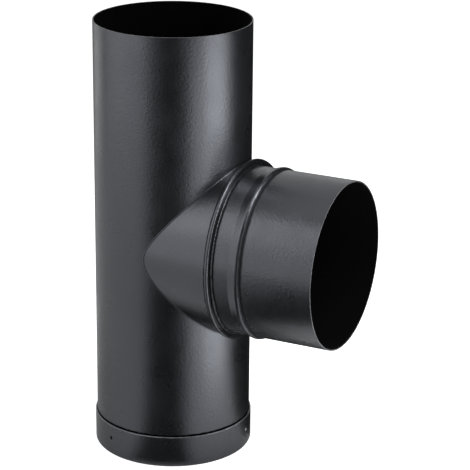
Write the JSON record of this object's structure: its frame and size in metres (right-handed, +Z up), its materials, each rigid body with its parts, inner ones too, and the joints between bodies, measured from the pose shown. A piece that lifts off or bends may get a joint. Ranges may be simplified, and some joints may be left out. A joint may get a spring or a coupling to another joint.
{
  "type": "stove pipe tee",
  "caption": "Black steel flue pipe tee: an upright pipe with a level side branch and a pull-off cap at its foot for cleaning out soot.",
  "frame": {"origin": "centre of the cap's flat underside, on the upright pipe's axis, at floor level", "axes": "+Z up the main pipe towards its open top, +X out along the branch"},
  "size_m": [0.2572, 0.1726, 0.423],
  "materials": {
    "pipe_paint": "satin",
    "branch_paint": "satin",
    "cap_paint": "satin"
  },
  "bodies": {
    "tee": {"main_pipe": "pipe_paint", "branch_saddle": "branch_paint", "branch_collar": "branch_paint"},
    "cap": {"cleanout_cap": "cap_paint"}
  },
  "joints": [
    {"name": "cap_slide", "type": "slide", "parent": "tee", "child": "cap", "axis": [0, 0, -1], "range_m": [0, 0.04]}
  ]
}
